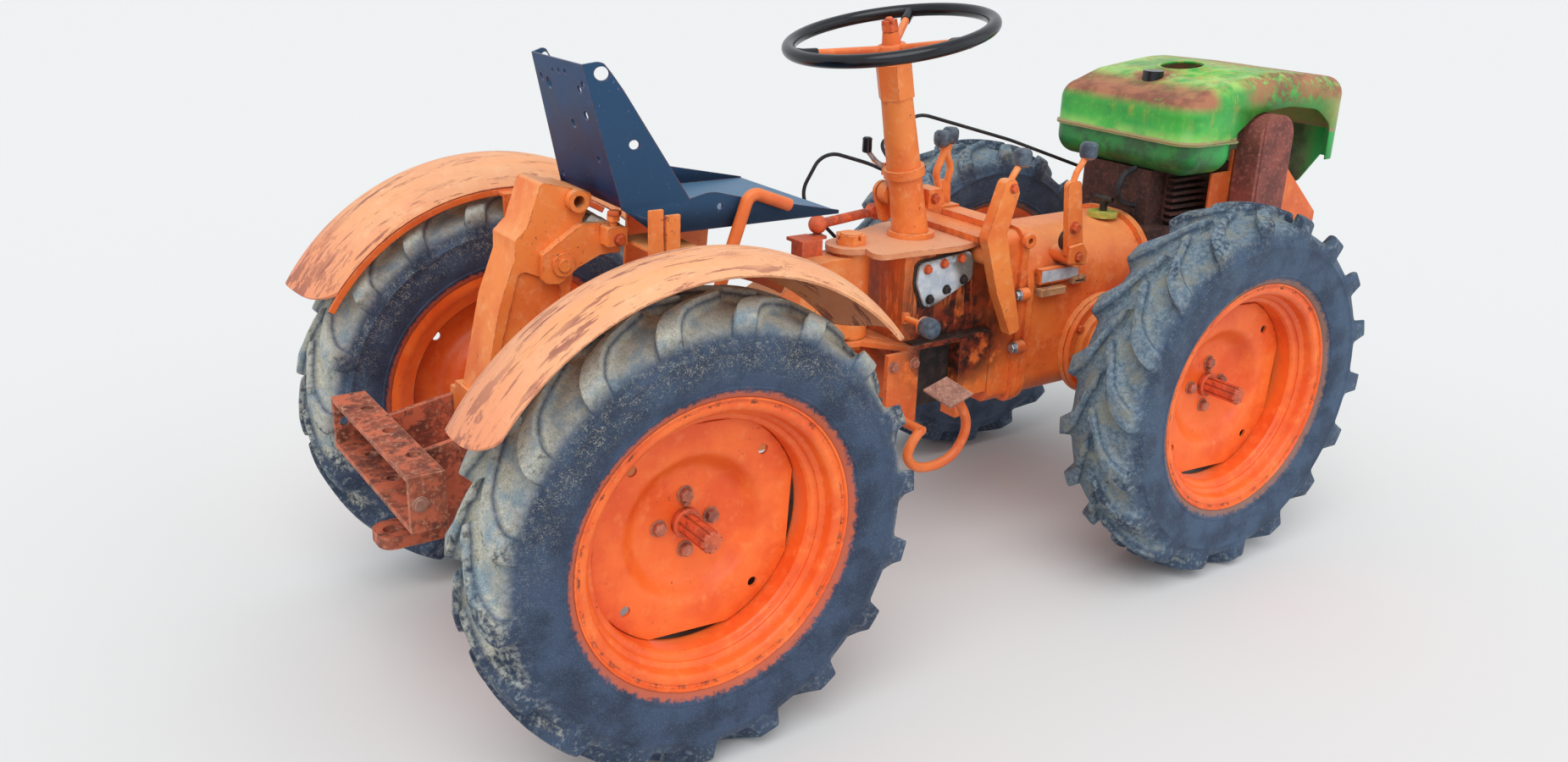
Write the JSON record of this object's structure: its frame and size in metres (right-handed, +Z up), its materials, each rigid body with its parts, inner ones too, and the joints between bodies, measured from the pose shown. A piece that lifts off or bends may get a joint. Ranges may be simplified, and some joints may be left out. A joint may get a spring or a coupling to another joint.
{
  "type": "farm tractor",
  "caption": "Small articulated farm tractor with equal lugged wheels, an overhanging front engine under a rounded hood, and a sheet seat between rear fenders.",
  "frame": {"origin": "on the ground, under the middle of the whole length and width", "axes": "+X forward, +Y to the driver's left, +Z up"},
  "size_m": [2.0558, 0.8892, 1.0434],
  "materials": {
    "tyre": "weathered farm tyre with dried mud",
    "orange_wheel_paint": "brush-painted orange with rust spots",
    "orange_cast_paint": "orange paint on castings with oil stains",
    "orange_sheet_paint": "orange paint on sheet and bar",
    "faded_orange_paint": "sun-faded orange with brown scratches",
    "black_seat_paint": "worn dark paint",
    "rusty_plate": "old orange paint over rust",
    "bare_aluminium": "stained cast cover",
    "engine_iron": "sooty and oily",
    "rusty_muffler": "rust brown",
    "green_paint": "green paint with rust and lichen",
    "black_plastic": "glossy black",
    "greasy_brass": "greasy",
    "plated_steel": "dull plated",
    "black_rubber": "cable sleeve"
  },
  "bodies": {
    "front_body": {"bell_housing": "orange_cast_paint", "clutch_lever": "orange_sheet_paint", "control_cables": "black_rubber", "cooling_fins": "engine_iron", "drop_arm_shaft": "orange_cast_paint", "engine_block": "engine_iron", "foot_pedal": "orange_sheet_paint", "front_axle_housings": "orange_cast_paint", "fuel_cap": "black_plastic", "fuel_tank": "green_paint", "gearbox": "orange_cast_paint", "hood_cowl": "green_paint", "inspection_cover": "bare_aluminium", "kingpin": "orange_cast_paint", "lower_frame": "orange_cast_paint", "muffler": "rusty_muffler", "oil_cap": "greasy_brass", "short_lever": "orange_sheet_paint", "side_guards": "orange_sheet_paint", "side_lever": "orange_sheet_paint", "steering_column": "orange_cast_paint", "throttle_lever": "plated_steel", "top_plate": "faded_orange_paint", "twin_levers": "orange_sheet_paint"},
    "rear_body": {"rear_axle_housing": "orange_cast_paint", "rear_frame": "orange_cast_paint", "steering_ball_arm": "orange_cast_paint", "fender_right": "faded_orange_paint", "fender_left": "faded_orange_paint", "fender_stays": "orange_sheet_paint", "seat_pan": "black_seat_paint", "seat_bracket": "orange_sheet_paint", "lift_column": "orange_cast_paint", "lift_bracket": "orange_cast_paint", "hand_lever": "orange_sheet_paint", "hitch_block": "rusty_plate", "hitch_bracket": "rusty_plate"},
    "wheel_front_right": {"tyre_front_right": "tyre", "rim_front_right": "orange_wheel_paint", "hub_front_right": "orange_wheel_paint"},
    "wheel_front_left": {"tyre_front_left": "tyre", "rim_front_left": "orange_wheel_paint", "hub_front_left": "orange_wheel_paint"},
    "wheel_rear_right": {"tyre_rear_right": "tyre", "rim_rear_right": "orange_wheel_paint", "hub_rear_right": "orange_wheel_paint"},
    "wheel_rear_left": {"tyre_rear_left": "tyre", "rim_rear_left": "orange_wheel_paint", "hub_rear_left": "orange_wheel_paint"},
    "steering_wheel": {"steering_wheel": "black_plastic"},
    "drop_arm": {"drop_arm": "orange_cast_paint"},
    "steering_link": {"steering_link": "orange_cast_paint"}
  },
  "joints": [
    {"name": "articulation", "type": "hinge", "parent": "front_body", "child": "rear_body", "pos_m": [-0.138, 0, 0.546], "axis": [0, 0, 1], "range_deg": [-40, 40]},
    {"name": "steering_turn", "type": "hinge", "parent": "front_body", "child": "steering_wheel", "pos_m": [0, 0, 0.632], "axis": [-0.1994, 0, 0.9799], "range_deg": [-481, 481]},
    {"name": "drop_arm_swing", "type": "hinge", "parent": "front_body", "child": "drop_arm", "pos_m": [-0.032, 0.05, 0.708], "axis": [0, 1, 0], "range_deg": [-36, 36]},
    {"name": "link_turn", "type": "hinge", "parent": "rear_body", "child": "steering_link", "pos_m": [-0.184, 0.04, 0.6633], "axis": [0, 0, 1], "range_deg": [-31, 31]},
    {"name": "wheel_spin_front_right", "type": "hinge", "parent": "front_body", "child": "wheel_front_right", "pos_m": [0.485, -0.361, 0.356], "axis": [0, 1, 0], "continuous": true},
    {"name": "wheel_spin_front_left", "type": "hinge", "parent": "front_body", "child": "wheel_front_left", "pos_m": [0.485, 0.361, 0.356], "axis": [0, 1, 0], "continuous": true},
    {"name": "wheel_spin_rear_right", "type": "hinge", "parent": "rear_body", "child": "wheel_rear_right", "pos_m": [-0.672, -0.361, 0.356], "axis": [0, 1, 0], "continuous": true},
    {"name": "wheel_spin_rear_left", "type": "hinge", "parent": "rear_body", "child": "wheel_rear_left", "pos_m": [-0.672, 0.361, 0.356], "axis": [0, 1, 0], "continuous": true}
  ],
  "couplings": [
    {"joint": "steering_turn", "follows": "articulation", "ratio": -12},
    {"joint": "drop_arm_swing", "follows": "articulation", "ratio": 0.87},
    {"joint": "link_turn", "follows": "articulation", "ratio": -0.74}
  ]
}
